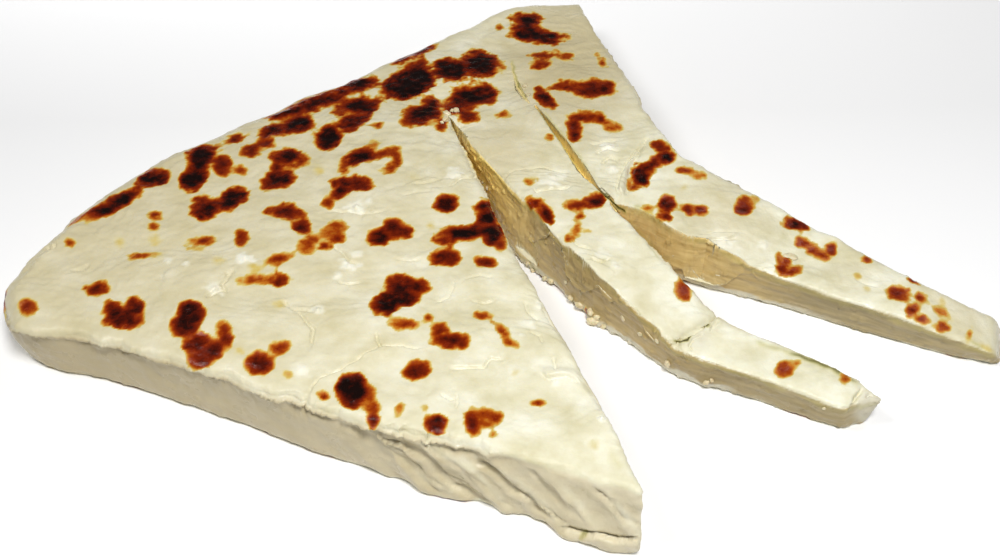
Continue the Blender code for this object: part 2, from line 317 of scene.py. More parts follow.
TOP_LEVEL = 14.0 * MM
FLIP_Y = (1, -1)  # turns plan points the way that the picture's pixels run
CUT_REACH_PX = 6  # wider than any narrow cut
SLIT_BANK_PX = 12  # the solid's own, wider slit is filled this far out
BANK_BAND_PX = 5  # and levelled with a band of this width beside it,
BANK_FADE_PX = 4  # fully from this far inside on
BANK_STOPS, BANK_STOP_REACH = 14, 0.08  # places along the slit where the band is measured
FILLER_WIDTH = 5.0 * MM
FILLER_TOP = 13.2 * MM
FILLER_FOOT = 3.0 * MM
BANK_ABOVE = FILLER_TOP - 3 * MM
SPLIT_ABOVE = 4.5 * MM  # faces lower than this aren't split
SPLIT_REACH_PX, LEANING_REACH_PX = 7, 14


def add_slit_filler(bar, line):
    """Add a bar that fills the solid's slit from inside."""
    plan = on_level(line, FILLER_TOP)
    along = np.gradient(plan, axis=0)
    along /= np.linalg.norm(along, axis=1)[:, None]
    side = np.stack([-along[:, 1], along[:, 0]], axis=1) * FILLER_WIDTH / 2
    rings = []
    for middle, out in zip(plan, side):
        rings.append([bar.verts.new((*(middle + sign * out), z))
                      for sign, z in ((-1, FILLER_FOOT), (1, FILLER_FOOT), (1, FILLER_TOP),
                                      (-1, FILLER_TOP))])
    faces = [bar.faces.new(rings[0]), bar.faces.new(rings[-1])]
    for near, far in zip(rings, rings[1:]):
        for corner in range(4):
            before = corner - 1
            faces.append(bar.faces.new((near[corner], near[before], far[before], far[corner])))
    bmesh.ops.recalc_face_normals(bar, faces=faces)


def evaluated_mesh(item):
    bpy.context.view_layer.update()
    evaluated = item.evaluated_get(bpy.context.evaluated_depsgraph_get())
    return bpy.data.meshes.new_from_object(evaluated)


def split_near(mesh, lines, reach):
    """Halve the faces along lines of the top, as far away as the reach in pixels."""
    points, _ = points_and_normals(mesh)
    seen = photo_pixels(points)
    close = np.zeros(len(points), dtype=bool)
    for line in lines:
        near = near_line(seen, line, reach)
        away, _ = line_distance(seen[near], line)
        close[near[np.abs(away) < reach]] = True
    close &= points[:, 2] > SPLIT_ABOVE

    def split(work):
        edges = [edge for edge in work.edges if all(close[vert.index] for vert in edge.verts)]
        bmesh.ops.subdivide_edges(work, edges=edges, cuts=1, use_grid_fill=True)
    change_mesh(mesh, split)


def middle_of(line_with_widths):
    return [point[:2] for point in line_with_widths]


def medians_along(place, chosen, values, count, reach, otherwise=None):
    """Even stops along a line and the median of the chosen values near each, or else the given
    one where few are near."""
    stops = np.linspace(0, 1, count)
    medians = []
    for stop in stops:
        found = values[chosen & (np.abs(place - stop) < reach)]
        few = otherwise is not None and len(found) <= FEW_POINTS
        medians.append(otherwise if few else np.median(found))
    return stops, medians


def level_bank(points, normals, line):
    """Level the shallow dip that the filler leaves."""
    seen = photo_pixels(points)
    away, place = line_distance(seen, line)
    gap = np.abs(away)
    high = points[:, 2] > BANK_ABOVE
    bank = (gap < SLIT_BANK_PX) & high
    rest = (gap > SLIT_BANK_PX) & (gap < SLIT_BANK_PX + BANK_BAND_PX) & high
    rest &= normals[:, 2] > LEVEL_NORMAL
    level = np.interp(place, *medians_along(place, rest, points[:, 2], BANK_STOPS,
                                             BANK_STOP_REACH))
    lift = (level - points[:, 2]) * smooth_step((SLIT_BANK_PX - gap) / BANK_FADE_PX)
    points[bank, 2] += lift[bank]


def cut_along(points, line_with_widths, full_depth, full_width):
    """Sink what lies under a line of the top, fully where it has its full half width. Tells how
    far inside the cut each point is, from 0 to 1."""
    line = middle_of(line_with_widths)
    raised = np.column_stack([points[:, :2], np.full(len(points), TOP_LEVEL)])
    seen = photo_pixels(raised)
    near = near_line(seen, line, CUT_REACH_PX)
    away, place = line_distance(seen[near], line)
    half = np.interp(place, places_along(line), [point[2] for point in line_with_widths])
    wall = smooth_step((half - np.abs(away)) / 1.0 + 0.5)
    sunk = wall * np.minimum(half / full_width, 1.0)
    lowered = np.minimum(points[near, 2], TOP_LEVEL - sunk * full_depth)
    inside = np.zeros(len(points))
    inside[near] = smooth_step(3 * sunk)
    points[near[wall > 0], 2] = lowered[wall > 0]
    return inside


def edge_in_plan(item, line):
    """Where a line of the picture lies on the top: plan points, and the height at each."""
    plan, heights = [], []
    for u, v in pairs(line):
        heights.append(TOP_LEVEL)
        for up in range(EDGE_SEARCH_PX):
            hit, place, normal = hit_at(item, u, v - up)
            if hit and normal.z > LEVEL_NORMAL:
                heights[-1] = place.z
                break
        plan.append(on_level((u, v), heights[-1])[0] * FLIP_Y)
    return np.array(plan), np.array(heights)


def follow_front_edge(item, points, normals):
    """Move the front's top edge to the ragged line of the photograph. Tells how far each point
    belongs to the skin's own edge, from 0 to 1."""
    solid_edge, heights, shifts = [], [], []
    for u, v in pairs(FRONT_EDGE_PX):
        for down in range(EDGE_SEARCH_PX, -EDGE_SEARCH_PX, -1):
            hit, place, normal = hit_at(item, u, v + down)
            if hit and normal.z > TOP_NORMAL:
                break
        wanted = on_level((u, v), place.z - SKIN_EDGE)[0]
        shifts.append(wanted - place.xy)
        solid_edge.append(np.array(place.xy) * FLIP_Y)
        heights.append(place.z)
    shifts = np.array(shifts)
    shifts *= np.minimum(1.0, EDGE_SHIFT / np.linalg.norm(shifts, axis=1))[:, None]
    places = places_along(solid_edge)
    plan = points[:, :2] * FLIP_Y
    boxed = near_line(plan, solid_edge, EDGE_REACH)
    outside, place = line_distance(plan[boxed], solid_edge)
    shift = np.stack([np.interp(place, places, shifts[:, axis]) for axis in (0, 1)], axis=1)
    below = np.interp(place, places, heights) - points[boxed, 2]
    inward = shift @ FRONT_DIRECTION < 0
    fade = np.where(inward, EDGE_FADE_IN, EDGE_FADE_OUT)
    close = (outside < EDGE_REACH) & (place > 0) & (place < 1)
    weight = close * taper(place, EDGE_TAPER) * smooth_step(1.0 + outside / EDGE_REACH)
    weight *= smooth_step(1.0 - (below - SKIN_EDGE) / fade)
    points[boxed, :2] += shift * weight[:, None]
    edge = np.zeros(len(points))
    edge[boxed] = close * (outside > -EDGE_REACH) * smooth_step(1.6 - below / SKIN_EDGE)
    return edge * (normals[:, 2] > OVERHANG_NORMAL)


def lean_end(points):
    """Lean the first strip's end in towards its foot."""
    there = (points[:, 0] > END_CORNER[0]) & (points[:, 1] < END_CORNER[1])
    share = smooth_step((points[:, 0] - END_CORNER[0]) / END_LENGTH)
    low = np.clip(1.0 - points[:, 2] / END_HEIGHT, 0.0, 1.0)
    points[:, 0] -= END_LEAN * share * low * there


def open_cut(item, points, normals, near_edge, far_edge, lean):
    """Take the top back to the edges of an open cut. The strip's side leans from its edge to the
    solid's wall, or over the given width where there is no wall."""
    near_plan = on_level(near_edge, TOP_LEVEL) * FLIP_Y
    far_plan, heights = edge_in_plan(item, far_edge)
    plan = points[:, :2] * FLIP_Y
    boxed = near_line(plan, far_plan, LEAN_REACH)
    far, place = line_distance(plan[boxed], far_plan)
    near, _ = line_distance(plan[boxed], near_plan)
    wall = (np.abs(normals[boxed, 2]) < WALL_NORMAL_Z) & (normals[boxed, 1] < WALL_NORMAL_Y)
    wall &= (far > 0) & (far < LEAN_REACH)
    wall &= np.abs(points[boxed, 2] - WALL_MIDDLE) < WALL_BAND
    stops, leans = medians_along(place, wall, far, WALL_STOPS, WALL_STOP_REACH, otherwise=lean)
    leans = np.interp(place, stops, np.maximum(leans, LEAST_LEAN))
    inside = np.minimum(far / leans, -near / NEAR_LEAN)
    level = np.interp(place, places_along(far_plan), heights)
    sunk = (inside > 0) & (far < LEAN_REACH) & (place > 0) & (place < 1)
    drop = points[boxed, 2] - np.maximum(level - inside * (level - LEAN_FOOT), LEAN_FOOT)
    drop *= smooth_step((1.0 - place) / LEAN_FADE)
    points[boxed[sunk], 2] -= np.maximum(drop[sunk], 0.0)


def make_skin():
    """A copy of the CAD solid with small, even faces and sharp cuts in its top. Tells, for each
    point, how far it is inside the narrow cuts and how far it belongs to the skin's own edge."""
    slit = middle_of(SLIT_PX)
    item = add_object("cheese_skin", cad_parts["bread_cheese"].data.copy())
    change_mesh(item.data, lambda work: add_slit_filler(work, slit))
    remesh = item.modifiers.new("remesh", "REMESH")
    remesh.mode = "VOXEL"
    remesh.voxel_size = VOXEL
    mesh = evaluated_mesh(item)
    item.modifiers.clear()
    item.data = mesh

    def smooth(work):
        for _ in range(SKIN_SMOOTHING):
            bmesh.ops.smooth_vert(work, verts=work.verts, factor=0.5, use_axis_x=True,
                                  use_axis_y=True, use_axis_z=True)
    change_mesh(mesh, smooth)
    points, normals = points_and_normals(mesh)
    level_bank(points, normals, slit)
    move_points(mesh, points)
    narrow = [middle_of(line) for line, *_ in NARROW_CUTS]
    leaning = [far_edge for _, far_edge, _ in CUT_EDGES_PX]
    near_edges = [near_edge for near_edge, _, _ in CUT_EDGES_PX]
    creased = [line for line, _, _ in CREASES_PX + FLAPS_PX]
    split_near(mesh, narrow + near_edges + creased + [FRONT_EDGE_PX], SPLIT_REACH_PX)
    split_near(mesh, leaning, LEANING_REACH_PX)
    split_near(mesh, narrow + leaning, SPLIT_REACH_PX)
    points, normals = points_and_normals(mesh)
    for near_edge, far_edge, lean in CUT_EDGES_PX:
        open_cut(item, points, normals, near_edge, far_edge, lean)
    skin_edge = follow_front_edge(item, points, normals)
    lean_end(points)
    slits = sum(shown * cut_along(points, line, depth, width)
                for line, depth, width, shown in NARROW_CUTS)
    move_points(mesh, points)
    mesh.materials.clear()
    mesh.shade_smooth()
    return item, slits, skin_edge


# ---- browning ----
# Spots read off the photograph: middle, width and height in pixels, how dark the middle is
# in hundredths, where 100 is nearly black, 60 red-brown, 35 orange and 15 a yellow trace, and for
# a turned spot the degrees anticlockwise as seen
SPOTS_PX = [
    # rim and left end
    (28, 308, 18, 17, 33), (70, 244, 9, 9, 50), (73, 220, 30, 7, 40, 20),
    (115, 203, 66, 16, 95, 29), (155, 178, 32, 18, 95, 10), (155, 215, 12, 8, 50),
    (153, 228, 10, 7, 50), (140, 256, 18, 8, 60), (156, 254, 12, 6, 10), (97, 288, 24, 13, 68, 10),
    # left middle
    (123, 318, 42, 22, 78), (111, 309, 15, 16, 70), (135, 307, 19, 20, 70),
    (201, 156, 29, 21, 100, 20), (199, 167, 24, 16, 100, 30), (194, 179, 32, 24, 100, 25),
    (222, 166, 19, 22, 55), (241, 170, 12, 8, 50), (234, 140, 24, 9, 75, 25),
    (251, 152, 20, 15, 60, 20), (206, 209, 34, 18, 95, 20), (232, 199, 34, 20, 95, 30),
    (200, 199, 14, 8, 80), (297, 125, 34, 19, 100, 15), (273, 130, 28, 16, 85, 15),
    (267, 143, 16, 14, 60), (286, 157, 30, 18, 90, 10), (301, 160, 16, 10, 50),
    (276, 166, 12, 16, 60), (279, 179, 33, 19, 90, 15), (268, 184, 14, 12, 70),
    (287, 112, 36, 9, 95, 17), (307, 106, 40, 12, 95, 17), (328, 99, 42, 14, 95, 18),
    (360, 85, 36, 15, 100, 12), (404, 57, 26, 8, 100, 22), (422, 49, 30, 9, 100, 24),
    (361, 107, 38, 19, 100, 8), (338, 111, 12, 6, 60), (355, 122, 36, 17, 100, 22),
    (328, 138, 27, 23, 100, 20), (377, 127, 10, 5, 45),
    # top middle, the blackest
    (410, 83, 56, 32, 100, 18), (422, 63, 9, 12, 60), (452, 70, 40, 24, 100),
    (480, 64, 38, 26, 100, -5), (499, 67, 12, 8, 50), (474, 52, 10, 8, 80),
    (424, 114, 38, 20, 100, 10), (432, 102, 18, 12, 80), (408, 123, 14, 8, 70),
    (441, 127, 10, 9, 60), (472, 96, 48, 22, 100, 5), (488, 88, 14, 12, 80),
    (467, 116, 20, 11, 75), (453, 108, 20, 12, 80), (359, 158, 31, 17, 95, 5),
    (375, 146, 9, 7, 15), (343, 168, 9, 8, 40), (384, 155, 12, 6, 50, 20), (394, 152, 12, 7, 45),
    (398, 160, 8, 12, 50),
    (390, 169, 20, 7, 55, 15), (354, 184, 40, 15, 95, -5), (340, 192, 20, 14, 85, 30),
    (328, 203, 16, 12, 55, 30), (285, 211, 34, 15, 80), (290, 218, 14, 8, 60),
    (202, 240, 30, 11, 50, 15), (199, 249, 12, 7, 10), (241, 237, 14, 18, 50, 20),
    (302, 229, 18, 15, 75, -20), (337, 226, 20, 12, 35), (339, 240, 14, 9, 80),
    (325, 247, 12, 8, 60), (312, 241, 20, 11, 65), (306, 250, 14, 7, 35), (329, 235, 18, 9, 25),
    (380, 237, 24, 16, 85, 10), (394, 230, 20, 18, 75), (406, 233, 14, 12, 55),
    (446, 204, 23, 17, 80),
    # along the first cut
    (485, 206, 20, 12, 90), (487, 218, 22, 18, 100), (468, 232, 56, 15, 100, 3),
    (492, 234, 22, 24, 100), (446, 240, 18, 8, 80), (500, 244, 12, 14, 50), (445, 257, 30, 17, 75),
    (485, 262, 20, 13, 70), (278, 260, 24, 11, 40, 10), (255, 280, 32, 10, 40, 5),
    (281, 280, 20, 13, 75),
    # front left
    (192, 315, 28, 27, 82), (183, 328, 28, 22, 78), (197, 346, 26, 20, 68), (198, 359, 24, 20, 70),
    (214, 352, 24, 18, 65, 30), (226, 337, 15, 28, 50, 10), (259, 364, 28, 22, 70),
    (280, 349, 18, 14, 40, 20),
    # the large spot in the middle and what hangs from it
    (402, 284, 30, 18, 90), (418, 288, 22, 14, 80), (388, 303, 28, 24, 95, 40),
    (403, 298, 34, 22, 90), (376, 308, 12, 12, 50), (406, 325, 26, 12, 40), (428, 319, 10, 8, 50),
    (440, 331, 20, 14, 50), (450, 341, 34, 16, 80), (462, 346, 12, 10, 60), (482, 316, 14, 8, 50),
    (502, 331, 14, 7, 45, -40), (511, 344, 14, 7, 45, -30), (416, 371, 26, 17, 65, 10),
    (425, 364, 14, 8, 50, 10), (352, 391, 34, 34, 100), (370, 396, 14, 18, 40),
    (323, 396, 10, 8, 60), (374, 420, 16, 13, 75), (373, 408, 15, 14, 35),
    (399, 409, 8, 13, 20, -30), (426, 408, 7, 7, 10), (436, 424, 24, 20, 95),
    (472, 424, 14, 27, 70, 10), (484, 414, 24, 10, 42), (496, 418, 11, 11, 60),
    (486, 424, 16, 10, 30), (493, 435, 8, 8, 25), (540, 402, 11, 6, 55),
    # rim corner and strip roots
    (527, 20, 30, 15, 100), (526, 33, 32, 18, 100), (546, 36, 40, 14, 100, -5),
    (543, 55, 20, 8, 68, 8), (565, 56, 18, 6, 50, 5), (540, 64, 15, 8, 65, 8), (500, 27, 7, 6, 35),
    (602, 61, 10, 5, 60, -45), (566, 87, 26, 10, 80, -8), (597, 88, 38, 18, 68, 8),
    (545, 98, 24, 13, 100, -40), (575, 136, 15, 15, 80), (584, 117, 26, 11, 78, 5),
    (602, 119, 16, 9, 60, -25), (612, 126, 16, 8, 30, -10), (574, 125, 13, 18, 78),
    (503, 114, 13, 8, 50), (549, 136, 10, 6, 50), (528, 181, 12, 6, 25),
    # first strip
    (535, 204, 14, 11, 75, -30), (546, 215, 24, 14, 85, -50), (594, 201, 22, 16, 95, 5),
    (576, 205, 20, 10, 75), (580, 217, 8, 6, 50), (578, 231, 11, 8, 50), (588, 231, 9, 5, 20),
    (568, 239, 9, 7, 50), (684, 290, 13, 20, 42), (679, 286, 10, 14, 28), (784, 369, 19, 17, 42),
    (796, 364, 12, 8, 30, 25), (845, 378, 10, 15, 30),
    # second strip
    (660, 146, 16, 9, 90, -20), (667, 157, 17, 13, 95), (652, 164, 22, 12, 90, 25),
    (641, 176, 18, 26, 100, 15), (634, 187, 14, 10, 70), (684, 170, 15, 8, 50, -10),
    (700, 176, 10, 7, 30), (668, 204, 18, 17, 68), (665, 217, 13, 10, 62), (648, 208, 12, 8, 20),
    (688, 209, 14, 10, 55), (701, 210, 14, 12, 65), (744, 208, 17, 15, 55), (746, 202, 16, 10, 30),
    (756, 200, 10, 9, 10), (796, 224, 25, 12, 85, -15), (804, 243, 17, 9, 50, -15),
    (812, 250, 14, 9, 50, -20), (822, 255, 14, 9, 55), (831, 249, 11, 14, 55),
    (782, 268, 13, 12, 50), (794, 270, 15, 9, 40, 15), (785, 262, 9, 9, 35), (778, 257, 6, 10, 40),
    (867, 259, 9, 5, 50, -20), (914, 280, 8, 4, 80, -20), (898, 294, 23, 16, 50, -10),
    (920, 298, 12, 9, 38), (913, 311, 18, 12, 50), (921, 319, 18, 10, 42, -30),
    (942, 326, 14, 11, 42), (940, 313, 16, 7, 25, -20), (970, 335, 6, 12, 18, -15),
    (984, 347, 16, 6, 4, -25), (941, 302, 5, 16, 3, -5),
    # faint yellow traces
    (220, 262, 16, 11, 2), (280, 305, 16, 10, 2), (240, 352, 11, 9, 3), (288, 375, 10, 6, 10),
    (430, 226, 13, 10, 3), (412, 178, 12, 9, 1), (515, 372, 10, 8, 2), (120, 243, 12, 11, 2),
    (685, 187, 12, 8, 2), (858, 276, 9, 8, 5), (866, 288, 10, 9, 3), (320, 170, 13, 10, 2),
    (593, 446, 12, 14, 1), (155, 240, 12, 9, 2), (255, 268, 12, 8, 3),
]
SPOT_EDGE_PX = 3.9  # a spot has most of its darkness this far in from its outline
SPOT_HALO = 1.4  # the higher, the wider the yellow rim is
SPOT_SWELL_PX = 1.9  # the yellow rim lies outside the sizes read off the photograph
SPOT_MERGE_PX = 1.8  # how softly neighbouring spots run into each other
SPOT_DARKENING = 0.6  # the lower, the darker the paler spots
SLIT_CLEAN_PX = 6  # no spots this near to the slit
SPOT_WAVES = ((2.4, 3.2 * MM, 7.3), (1.9, 1.5 * MM, 7.3), (1.2, 0.7 * MM, 7.3))  # in pixels

# Sides that the photograph doesn't show get spots of their own
HIDDEN_SPOT_WAVES = ((1.0, 9 * MM, 31.7), (0.25, 2.2 * MM, 4.1))
HIDDEN_SPOT_LIMIT = 0.26  # waves above this are browned
HIDDEN_SPOT_EDGE = 0.16
RIM_SIDE_BROWN = 0.7  # how dark the spots on the rim's side are
UNDERSIDE = 0.3 * MM  # only lower than this is underside


def browning(points, normals, seen, masks):
    """How browned each point is, from 0 to 1."""
    facing_up = normals[:, 2]
    total = np.full(len(points), 1e-9)
    darkness = np.zeros(len(points))
    for u, v, width, height, dark, *turned in SPOTS_PX:
        reach = max(width, height) / 2 + 4 * SPOT_MERGE_PX
        near = np.flatnonzero((np.abs(seen - (u, v)) < reach).all(axis=1))
        offset = seen[near] - (u, v)
        turn = math.radians(sum(turned))
        cosine, sine = math.cos(turn), math.sin(turn)
        across = (offset[:, 0] * cosine - offset[:, 1] * sine) / (width / 2)
        down = (offset[:, 0] * sine + offset[:, 1] * cosine) / (height / 2)
        inside = (1.0 - np.hypot(across, down)) * min(width, height) / 2
        share = np.exp(inside / SPOT_MERGE_PX)
        total[near] += share
        darkness[near] += share * (dark / 100) ** SPOT_DARKENING
    inside = SPOT_MERGE_PX * np.log(total)
    inside += waves(points, SPOT_WAVES)
    inside = np.maximum(inside + SPOT_SWELL_PX, 0.0) / SPOT_EDGE_PX
    brown = darkness / total * (1.0 - np.exp(-inside ** SPOT_HALO))
    brown *= rise(facing_up, -0.05, 0.3) * rise(masks["facing_camera"], 0, 0.15)
    slit = [(middle_of(SLIT_PX), 2.0, SLIT_CLEAN_PX)]
    clean = 1 - np.minimum(grooves(seen, slit, np.zeros_like(seen)), 1.0)
    under = rise(-facing_up, 0.4, 0.3) * (points[:, 2] < UNDERSIDE)
    hidden = np.maximum(under, RIM_SIDE_BROWN * masks["rim_side"])
    hidden *= rise(waves(points, HIDDEN_SPOT_WAVES), HIDDEN_SPOT_LIMIT, HIDDEN_SPOT_EDGE)
    return np.maximum(brown, hidden) * clean


# ---- relief ----
CREASE_GAIN = 1.1 * MM  # depth of a crease whose table says 1

# Creases of the top: line, depth in millimetres and half width in pixels
CREASES_PX = [
    ([236, 272, 227, 277, 223, 286, 225, 291, 217, 293, 204, 297], 0.5, 3),
    ([45, 250, 54, 247, 57, 242], 0.5, 2.5),
    ([70, 272, 82, 268, 90, 262], 0.25, 2),
    ([295, 309, 305, 320, 313, 330, 312, 343, 310, 349], 0.5, 3),
    ([280, 300, 295, 309, 318, 312], 0.3, 2.5),
    ([446, 369, 465, 369, 484, 367, 493, 360, 508, 360], 0.45, 2.2),
    ([454, 392, 457, 402, 456, 414], 0.35, 1.8),
    ([440, 395, 450, 399, 458, 395], 0.3, 2),
    ([435, 303, 448, 296, 455, 288, 455, 277], 0.3, 2),
    ([552, 358, 556, 366, 557, 373], 0.5, 2.5),
    ([523, 300, 530, 312, 541, 318], 0.35, 2.5),
    ([528, 330, 540, 336, 545, 345], 0.35, 2.5),
    ([330, 246, 341, 252, 350, 263, 364, 266], 0.35, 2.5),
    ([336, 282, 350, 285, 362, 279], 0.3, 2),
    ([376, 333, 377, 342, 380, 349], 0.5, 2.5),
    ([323, 213, 349, 211, 372, 215, 390, 213], 0.35, 2),
    ([411, 186, 428, 182, 445, 180], 0.25, 1.8),
    ([400, 196, 420, 193, 436, 194], 0.2, 1.8),
    ([449, 188, 459, 182, 468, 179, 478, 177], 0.45, 2),
    ([532, 188, 537, 194, 548, 192, 558, 189, 573, 186], 0.45, 2.2),
    ([600, 163, 610, 158, 622, 160], 0.4, 2.2),
    ([590, 146, 602, 142, 618, 141], 0.35, 2.2),
    ([594, 155, 606, 150, 620, 151], 0.3, 2),
    ([708, 237, 722, 238, 741, 237], 0.35, 2),
    ([571, 240, 580, 247, 592, 250], 0.3, 2.2),
    ([590, 258, 603, 262, 612, 259], 0.3, 2.2),
    ([462, 280, 480, 276, 497, 279], 0.25, 2),
    ([470, 298, 484, 303, 500, 301], 0.25, 2),
    ([395, 258, 410, 262, 425, 258], 0.25, 2),
    ([855, 277, 866, 283, 880, 286], 0.25, 2),
    ([838, 411, 848, 409, 854, 403, 857, 396, 862, 388], 0.9, 2.2),
    ([864, 398, 870, 394, 880, 395], 0.5, 2),
    ([862, 408, 870, 403, 878, 402], 0.4, 2),
    ([693, 352, 690, 347, 694, 341, 702, 337], 0.4, 1.8),
    ([708, 335, 713, 330, 717, 322], 0.4, 1.8),
]

# Skin that stands up along the right-hand side of a line: line, height in millimetres and reach
FLAPS_PX = [
    ([310, 404, 308, 396, 314, 386, 322, 379, 343, 371, 358, 363, 370, 355, 379, 350, 396, 350,
      416, 350, 430, 348], 0.55, 16),
    ([500, 178, 513, 173, 526, 169, 539, 168, 552, 171, 572, 171], 0.5, 14),
    ([582, 384, 568, 376, 561, 376, 547, 376, 538, 370], 0.6, 10),
    ([621, 200, 619, 186, 626, 165, 636, 153, 654, 142], 0.5, 12),
    ([672, 340, 682, 342, 695, 337, 710, 328, 722, 313], 0.5, 12),
    ([396, 101, 419, 95, 445, 84, 462, 79, 484, 77], 0.4, 9),
    ([700, 233, 715, 232, 742, 233], 0.35, 8),
]

# Curds that stand out as lumps, pale partly as whiter curd and partly as painted highlight:
# middle, size in pixels and height in millimetres
CURDS_PX = [
    (244, 261, 18, 0.5), (168, 263, 8, 0.35), (186, 264, 8, 0.35), (215, 290, 14, 0.35),
    (347, 267, 16, 0.5), (357, 255, 12, 0.35), (340, 276, 12, 0.35), (457, 175, 16, 0.4),
    (358, 208, 20, 0.4), (552, 180, 22, 0.4), (608, 147, 14, 0.4), (611, 168, 14, 0.4),
    (598, 170, 10, 0.3), (725, 241, 18, 0.3), (601, 421, 7, 0.4), (530, 322, 14, 0.35),
    (541, 305, 10, 0.3), (521, 336, 10, 0.3), (604, 254, 14, 0.35), (616, 268, 12, 0.3),
    (556, 380, 12, 0.3), (765, 245, 12, 0.3), (302, 370, 16, 0.35), (318, 312, 12, 0.3),
]
CURD_FILL, CURD_GRAIN = 0.8, 1.2 * MM  # share of its height in any case, size of its grain
CURD_HEIGHT = 0.5  # a curd this high, in millimetres, is also the palest

# Folds in the front face, drawn towards the tip, given as the creases are
FRONT_FOLDS_PX = [
    ([336, 419, 366, 437, 403, 461, 436, 492, 460, 502], 0.8, 6),
    ([392, 436, 425, 457, 453, 485, 480, 500, 505, 510], 1, 6),
    ([425, 445, 455, 466, 478, 486], 0.5, 4),
    ([470, 452, 488, 468, 528, 500, 557, 527], 1, 5),
    ([520, 464, 545, 486, 575, 515, 592, 530], 0.5, 5),
    ([590, 486, 603, 494, 622, 518, 638, 525], 0.7, 4),
    ([556, 528, 563, 530, 575, 531, 592, 535, 616, 539, 641, 542], 1, 3),
    ([550, 464, 572, 473, 592, 476, 612, 481, 630, 489], 0.4, 3),
    ([341, 421, 362, 435, 396, 459, 420, 483, 434, 495], 0.45, 2.2),
    ([355, 430, 372, 438, 401, 452, 425, 474, 449, 490, 468, 500], 0.5, 2.2),
    ([370, 436, 403, 445, 425, 459, 454, 478, 476, 492], 0.5, 2.2),
    ([430, 447, 446, 458, 470, 474, 498, 497, 520, 513], 0.4, 2),
    ([492, 466, 502, 478, 530, 502, 554, 524], 0.5, 2),
    ([506, 476, 535, 498, 564, 522, 573, 529], 0.5, 2),
    ([605, 493, 619, 507, 636, 524, 643, 533], 0.5, 2.5),
    ([150, 372, 170, 384, 195, 390], 0.2, 5),
]

# Skin that stands out below a line of the front face, given as the flaps are
FRONT_FLAPS_PX = [
    ([553, 527, 563, 530, 575, 531, 592, 535, 616, 539, 646, 542], 1, 16),
    ([366, 434, 400, 446, 436, 468, 462, 490], 0.4, 10),
    ([470, 458, 500, 480, 530, 505, 552, 526], 0.4, 10),
]

TOP_WAVES = ((0.26 * MM, 10.0 * MM, 3.1), (0.15 * MM, 4.4 * MM, 3.1), (0.09 * MM, 1.6 * MM, 3.1))
SIDE_WAVES = ((0.25 * MM, 7.0 * MM, 9.7), (0.20 * MM, 2.6 * MM, 9.7), (0.10 * MM, 1.2 * MM, 9.7))
BROWN_CALM = 0.6  # spots are this much smoother than the skin round them
FLAKE_STRETCH = (0.55, 1.0, 1.0)  # flakes of the skin are longer along X
FLAKE_SIZE = 10 * MM
FLAKE_COUNT = 5  # steps from the highest flakes to the middle ones
FLAKE_STEP = 0.15 * MM
WRINKLES = 0.13 * MM
WRINKLE_SIZE = 4.0 * MM
WRINKLED_SIZE = 18 * MM  # size of the regions with wrinkles and of those without
BEADS = 0.22 * MM
BEAD_SIZE = 1.3 * MM
STREAKS = 0.22 * MM  # lengthwise fibres on the sides
STREAK_SIZE = (9 * MM, 9 * MM, 1.1 * MM)
FINE_STREAKS = 0.10 * MM
FINE_STREAK_SIZE = (4 * MM, 4 * MM, 0.6 * MM)
EDGE_FILL = 0.55 * MM  # sharpens the edge between top and sides
EDGE_WAVES = ((0.5, 1.1 * MM, 27.0), (0.6, 3.6 * MM, 33.0))
LIP = 0.5 * MM  # the skin stands out over the cut below it
LIP_DROP = 1.4 * MM
SCALLOPS = 1.1 * MM  # waves of the baked rim
SCALLOP_WAVES = ((0.7, 5 * MM, 63.0), (0.5, 2.2 * MM, 67.0))
RAGGED_FOOT = 1.3 * MM
RAGGED_PX = [(590, 310, 130, 1.0), (690, 370, 70, 0.9), (750, 295, 130, 0.6)]
RAGGED_HEIGHT = 3.0 * MM
RAGGED_WAVES = ((0.9, 1.1 * MM, 17.0), (0.7, 3.4 * MM, 57.0))
BLISTERS = 0.22 * MM
BLISTER_SIZE = 1.2 * MM
SPOT_SINK = 0.15 * MM


def steps_of(value):
    """Flat steps with short slopes between them."""
    whole = np.floor(value)
    return whole + rise(value - whole, 0.75, 0.25)


def depth_below_top(points, top):
    """How far each point lies below the nearest place of the top."""
    crest = np.flatnonzero(top > 0.9)[::3]
    tree = kdtree.KDTree(len(crest))
    for place, index in enumerate(crest):
        tree.insert((points[index, 0], points[index, 1], 0), place)
    tree.balance()
    below = np.zeros(len(points))
    for index in np.flatnonzero(top < 0.9):
        _, place, _ = tree.find((points[index, 0], points[index, 1], 0))
        below[index] = points[crest[place], 2] - points[index, 2]
    return below


